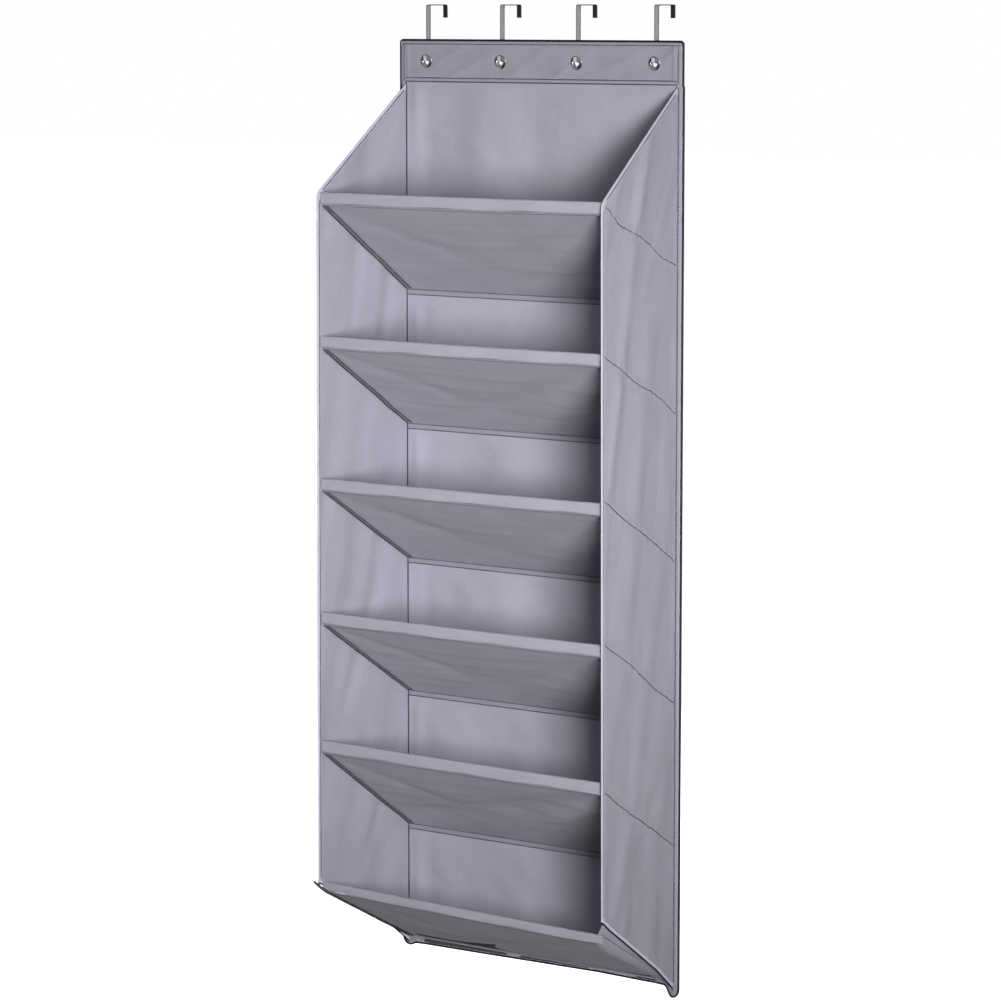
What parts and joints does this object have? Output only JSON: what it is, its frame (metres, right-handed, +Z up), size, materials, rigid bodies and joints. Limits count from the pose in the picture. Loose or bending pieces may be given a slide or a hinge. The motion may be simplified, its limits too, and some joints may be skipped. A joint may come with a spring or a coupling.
{
  "type": "shoe organizer",
  "caption": "Over-the-door fabric shoe organizer with tilted open shelves between side gussets, hung from a grommeted header band on steel door hooks.",
  "frame": {"origin": "middle of the four hooks' seats on the top edge of the door", "axes": "+X to the right seen from the room, -Y into the room, +Y towards the door, +Z up"},
  "size_m": [0.56, 0.2704, 1.5906],
  "materials": {
    "panel_fabric": "matt non-woven, mottled grey",
    "header_fabric": "matt woven, grey, lightly creased",
    "shelf_fabric": "matt woven, darker grey",
    "binding_tape": "ribbed tape with dashed stitching",
    "board_plastic": "matt corrugated sheet",
    "rod_steel": "drawn wire",
    "hook_steel": "polished strip",
    "grommet_metal": "polished, nickel plated"
  },
  "bodies": {
    "hanger": {"hook_1": "hook_steel", "hook_2": "hook_steel", "hook_3": "hook_steel", "hook_4": "hook_steel", "grommet_1": "grommet_metal", "grommet_2": "grommet_metal", "grommet_3": "grommet_metal", "grommet_4": "grommet_metal", "grommet_washers": "grommet_metal", "header_band": "header_fabric", "header_stiffener": "board_plastic", "header_top_hem": "binding_tape", "header_trim": "binding_tape", "header_binding_left": "binding_tape", "header_binding_right": "binding_tape"},
    "organizer": {"back_panel": "panel_fabric", "side_binding_left": "binding_tape", "side_binding_right": "binding_tape", "bottom_binding": "binding_tape", "side_gusset_left": "panel_fabric", "side_gusset_right": "panel_fabric", "gusset_top_binding_left": "binding_tape", "gusset_top_binding_right": "binding_tape", "gusset_lower_binding_left": "binding_tape", "gusset_lower_binding_right": "binding_tape", "rear_hem_1": "binding_tape", "rear_hem_2": "binding_tape", "rear_hem_3": "binding_tape", "rear_hem_4": "binding_tape", "rear_hem_5": "binding_tape"},
    "gusset_front": {"gusset_front_binding_left": "binding_tape", "gusset_front_binding_right": "binding_tape"},
    "shelf_1": {"shelf_1_cover": "shelf_fabric", "shelf_1_board": "board_plastic", "shelf_1_rod": "rod_steel", "shelf_1_end_tapes": "binding_tape"},
    "shelf_2": {"shelf_2_cover": "shelf_fabric", "shelf_2_board": "board_plastic", "shelf_2_rod": "rod_steel", "shelf_2_end_tapes": "binding_tape"},
    "shelf_3": {"shelf_3_cover": "shelf_fabric", "shelf_3_board": "board_plastic", "shelf_3_rod": "rod_steel", "shelf_3_end_tapes": "binding_tape"},
    "shelf_4": {"shelf_4_cover": "shelf_fabric", "shelf_4_board": "board_plastic", "shelf_4_rod": "rod_steel", "shelf_4_end_tapes": "binding_tape"},
    "shelf_5": {"shelf_5_cover": "shelf_fabric", "shelf_5_board": "board_plastic", "shelf_5_rod": "rod_steel", "shelf_5_end_tapes": "binding_tape"},
    "shelf_6": {"shelf_6_cover": "shelf_fabric", "shelf_6_board": "board_plastic", "shelf_6_rod": "rod_steel", "shelf_6_end_tapes": "binding_tape"}
  },
  "joints": [
    {"name": "panel_swing", "type": "hinge", "parent": "hanger", "child": "organizer", "pos_m": [0, -0.0266, -0.1263], "axis": [-1, 0, 0], "range_deg": [0, 25]},
    {"name": "shelf_1_fold", "type": "hinge", "parent": "organizer", "child": "shelf_1", "pos_m": [0, -0.0316, -0.445], "axis": [-1, 0, 0], "range_deg": [0, 44]},
    {"name": "shelf_2_fold", "type": "hinge", "parent": "organizer", "child": "shelf_2", "pos_m": [0, -0.0316, -0.672], "axis": [-1, 0, 0], "range_deg": [0, 44]},
    {"name": "shelf_3_fold", "type": "hinge", "parent": "organizer", "child": "shelf_3", "pos_m": [0, -0.0316, -0.899], "axis": [-1, 0, 0], "range_deg": [0, 44]},
    {"name": "shelf_4_fold", "type": "hinge", "parent": "organizer", "child": "shelf_4", "pos_m": [0, -0.0316, -1.126], "axis": [-1, 0, 0], "range_deg": [0, 44]},
    {"name": "shelf_5_fold", "type": "hinge", "parent": "organizer", "child": "shelf_5", "pos_m": [0, -0.0316, -1.353], "axis": [-1, 0, 0], "range_deg": [0, 44]},
    {"name": "shelf_6_fold", "type": "hinge", "parent": "organizer", "child": "shelf_6", "pos_m": [0, -0.0316, -1.58], "axis": [-1, 0, 0], "range_deg": [0, 44]},
    {"name": "gusset_front_gather", "type": "slide", "parent": "organizer", "child": "gusset_front", "axis": [0, 0.8302, 0.5574], "range_m": [0, 0.1945], "deforming": ["side_gusset_left", "side_gusset_right", "gusset_top_binding_left", "gusset_top_binding_right", "gusset_lower_binding_left", "gusset_lower_binding_right"]}
  ],
  "couplings": [
    {"joint": "shelf_2_fold", "follows": "shelf_1_fold", "ratio": 1},
    {"joint": "shelf_3_fold", "follows": "shelf_1_fold", "ratio": 1},
    {"joint": "shelf_4_fold", "follows": "shelf_1_fold", "ratio": 1},
    {"joint": "shelf_5_fold", "follows": "shelf_1_fold", "ratio": 1},
    {"joint": "shelf_6_fold", "follows": "shelf_1_fold", "ratio": 1},
    {"joint": "gusset_front_gather", "follows": "shelf_1_fold", "m_per_rad": 0.25219}
  ]
}
